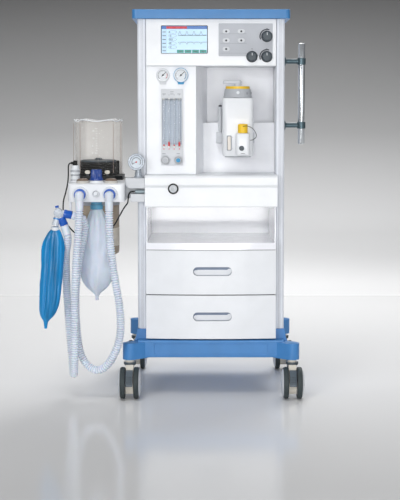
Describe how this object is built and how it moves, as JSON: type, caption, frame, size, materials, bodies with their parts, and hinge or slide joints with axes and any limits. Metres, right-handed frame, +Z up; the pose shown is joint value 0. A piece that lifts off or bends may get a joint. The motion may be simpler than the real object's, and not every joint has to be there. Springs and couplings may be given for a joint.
{
  "type": "veterinary anesthesia machine",
  "caption": "Wheeled anesthesia machine with flowmeters, a vaporizer, a ventilator screen, drawers, and a side absorber head carrying bellows, a canister, breathing hoses and bags",
  "frame": {"origin": "on the floor, under the middle of the outer box measured without the hoses, the cable and what hangs on them", "axes": "+Z is up, -Y is the front with the screen and drawers, +X is the operator's right; the absorber head is on the -X side"},
  "size_m": [0.952, 0.6394, 1.386],
  "materials": {
    "pillar_white": "off-white powder coat on extruded aluminium",
    "back_white": "off-white powder coat on sheet",
    "panel_white": "off-white moulded plastic, satin",
    "vaporizer_white": "off-white enamel on a cast body",
    "base_blue": "blue paint on cast aluminium",
    "tray_blue": "blue moulded plastic",
    "trim_blue": "blue plastic trim",
    "polished_steel": "polished stainless tube with grey stays",
    "silver_metal": "satin metal",
    "grey_plastic": "grey satin plastic",
    "arm_grey": "light grey paint on cast aluminium",
    "slate_plastic": "dark slate plastic",
    "screen": "smooth screen cover",
    "wheel_rubber": "dark rubber tread on light grey discs",
    "fork_cream": "cream moulded plastic",
    "black_plastic": "black plastic",
    "black_rubber": "black rubber",
    "clear_plastic": "clear plastic",
    "valve_plastic": "brown-tinted clear plastic",
    "canister_plastic": "translucent brown plastic",
    "hose_plastic": "bluish-white corrugated plastic",
    "bag_rubber": "bluish-white thin rubber",
    "blue_rubber": "bright blue thin rubber",
    "y_plastic": "clear-white plastic",
    "knob_royal": "deep blue plastic",
    "cap_yellow": "yellow plastic"
  },
  "bodies": {
    "trolley": {"left_pillar": "pillar_white", "right_pillar": "pillar_white", "back_panel": "back_white", "shelf_tray": "panel_white", "worktop": "panel_white", "monitor_housing": "panel_white", "flow_column": "panel_white", "bay_panel": "panel_white", "absorber_block": "panel_white", "base_frame": "base_blue", "top_tray": "tray_blue", "gauge_oxygen": "trim_blue", "handle_pole": "polished_steel", "gas_inlets": "silver_metal", "vaporizer_manifold": "silver_metal", "o2_sensor": "silver_metal", "airway_gauge": "silver_metal", "keypad_plate": "grey_plastic", "flowmeter_block": "grey_plastic", "gauge_nitrous": "grey_plastic", "absorber_arm": "arm_grey", "cable_socket": "slate_plastic", "display_screen": "screen", "bellows_base": "black_plastic", "bellows": "black_rubber", "sensor_cable": "black_rubber", "bellows_dome": "clear_plastic", "inspiratory_valve": "valve_plastic", "expiratory_valve": "valve_plastic", "breathing_hose_left": "hose_plastic", "breathing_hose_right": "hose_plastic", "reservoir_bag": "bag_rubber", "test_bag": "blue_rubber", "y_piece": "y_plastic"},
    "caster_front_left": {"caster_fork_front_left": "fork_cream"},
    "wheels_front_left": {"wheel_pair_front_left": "wheel_rubber"},
    "caster_front_right": {"caster_fork_front_right": "fork_cream"},
    "wheels_front_right": {"wheel_pair_front_right": "wheel_rubber"},
    "caster_rear_left": {"caster_fork_rear_left": "fork_cream"},
    "wheels_rear_left": {"wheel_pair_rear_left": "wheel_rubber"},
    "caster_rear_right": {"caster_fork_rear_right": "fork_cream"},
    "wheels_rear_right": {"wheel_pair_rear_right": "wheel_rubber"},
    "pedal_left": {"brake_pedal_left": "grey_plastic"},
    "pedal_right": {"brake_pedal_right": "grey_plastic"},
    "drawer_upper": {"drawer_upper": "panel_white"},
    "drawer_lower": {"drawer_lower": "panel_white"},
    "flush_button": {"flush_button": "silver_metal"},
    "volume_knob": {"volume_knob": "slate_plastic"},
    "rate_knob": {"rate_knob": "slate_plastic"},
    "encoder_knob": {"encoder_knob": "slate_plastic"},
    "flow_knob_nitrous": {"flow_knob_nitrous": "grey_plastic"},
    "flow_knob_oxygen": {"flow_knob_oxygen": "trim_blue"},
    "vaporizer": {"vaporizer_body": "vaporizer_white", "filler_lanyard": "black_rubber"},
    "vaporizer_dial": {"vaporizer_dial": "grey_plastic"},
    "vaporizer_lever": {"vaporizer_lever": "grey_plastic"},
    "filler_cap": {"filler_cap": "cap_yellow"},
    "apl_knob": {"apl_knob": "knob_royal"},
    "bellows_disc": {"bellows_disc": "black_plastic"},
    "canister": {"canister": "canister_plastic"}
  },
  "joints": [
    {"name": "swivel_front_left", "type": "hinge", "parent": "trolley", "child": "caster_front_left", "pos_m": [-0.207, -0.231, 0.1], "axis": [0, 0, 1], "continuous": true},
    {"name": "roll_front_left", "type": "hinge", "parent": "caster_front_left", "child": "wheels_front_left", "pos_m": [-0.207, -0.263, 0.056], "axis": [1, 0, 0], "continuous": true},
    {"name": "swivel_front_right", "type": "hinge", "parent": "trolley", "child": "caster_front_right", "pos_m": [0.375, -0.231, 0.1], "axis": [0, 0, 1], "continuous": true},
    {"name": "roll_front_right", "type": "hinge", "parent": "caster_front_right", "child": "wheels_front_right", "pos_m": [0.375, -0.263, 0.056], "axis": [1, 0, 0], "continuous": true},
    {"name": "swivel_rear_left", "type": "hinge", "parent": "trolley", "child": "caster_rear_left", "pos_m": [-0.207, 0.293, 0.1], "axis": [0, 0, 1], "continuous": true},
    {"name": "roll_rear_left", "type": "hinge", "parent": "caster_rear_left", "child": "wheels_rear_left", "pos_m": [-0.207, 0.261, 0.056], "axis": [1, 0, 0], "continuous": true},
    {"name": "swivel_rear_right", "type": "hinge", "parent": "trolley", "child": "caster_rear_right", "pos_m": [0.375, 0.293, 0.1], "axis": [0, 0, 1], "continuous": true},
    {"name": "roll_rear_right", "type": "hinge", "parent": "caster_rear_right", "child": "wheels_rear_right", "pos_m": [0.375, 0.261, 0.056], "axis": [1, 0, 0], "continuous": true},
    {"name": "brake_left", "type": "hinge", "parent": "caster_front_left", "child": "pedal_left", "pos_m": [-0.207, -0.28, 0.1], "axis": [1, 0, 0], "range_deg": [0, 12]},
    {"name": "brake_right", "type": "hinge", "parent": "caster_front_right", "child": "pedal_right", "pos_m": [0.375, -0.28, 0.1], "axis": [1, 0, 0], "range_deg": [0, 12]},
    {"name": "slide_drawer_upper", "type": "slide", "parent": "trolley", "child": "drawer_upper", "axis": [0, -1, 0], "range_m": [0, 0.3]},
    {"name": "slide_drawer_lower", "type": "slide", "parent": "trolley", "child": "drawer_lower", "axis": [0, -1, 0], "range_m": [0, 0.3]},
    {"name": "push_flush_button", "type": "slide", "parent": "trolley", "child": "flush_button", "axis": [0, 1, 0], "range_m": [0, 0.005], "stiffness_N_per_m": 600},
    {"name": "turn_volume_knob", "type": "hinge", "parent": "trolley", "child": "volume_knob", "pos_m": [0.2834, -0.1833, 1.29], "axis": [0, 1, 0], "range_deg": [0, 270]},
    {"name": "turn_rate_knob", "type": "hinge", "parent": "trolley", "child": "rate_knob", "pos_m": [0.283, -0.1833, 1.218], "axis": [0, 1, 0], "range_deg": [0, 270]},
    {"name": "turn_encoder_knob", "type": "hinge", "parent": "trolley", "child": "encoder_knob", "pos_m": [0.2302, -0.1833, 1.218], "axis": [0, 1, 0], "continuous": true},
    {"name": "turn_flow_knob_nitrous", "type": "hinge", "parent": "trolley", "child": "flow_knob_nitrous", "pos_m": [-0.0794, -0.1825, 0.848], "axis": [0, 1, 0], "range_deg": [0, 630]},
    {"name": "turn_flow_knob_oxygen", "type": "hinge", "parent": "trolley", "child": "flow_knob_oxygen", "pos_m": [-0.0337, -0.1825, 0.848], "axis": [0, 1, 0], "range_deg": [0, 630]},
    {"name": "lift_vaporizer", "type": "slide", "parent": "trolley", "child": "vaporizer", "axis": [0, 0, 1], "range_m": [0, 0.04]},
    {"name": "turn_vaporizer_dial", "type": "hinge", "parent": "vaporizer", "child": "vaporizer_dial", "pos_m": [0.1803, -0.146, 1.0713], "axis": [0, 0, 1], "range_deg": [0, 300]},
    {"name": "turn_vaporizer_lever", "type": "hinge", "parent": "vaporizer", "child": "vaporizer_lever", "pos_m": [0.1803, -0.146, 1.1133], "axis": [0, 0, 1], "range_deg": [0, 90]},
    {"name": "turn_filler_cap", "type": "hinge", "parent": "vaporizer", "child": "filler_cap", "pos_m": [0.196, -0.235, 0.9465], "axis": [0, 0, 1], "range_deg": [0, 720]},
    {"name": "turn_apl_knob", "type": "hinge", "parent": "trolley", "child": "apl_knob", "pos_m": [-0.3256, -0.212, 0.7768], "axis": [0, 0, 1], "range_deg": [0, 300]},
    {"name": "raise_bellows", "type": "slide", "parent": "trolley", "child": "bellows_disc", "axis": [0, 0, 1], "range_m": [0, 0.12], "deforming": ["bellows"]},
    {"name": "lower_canister", "type": "slide", "parent": "trolley", "child": "canister", "axis": [0, 0, -1], "range_m": [0, 0.1]}
  ]
}
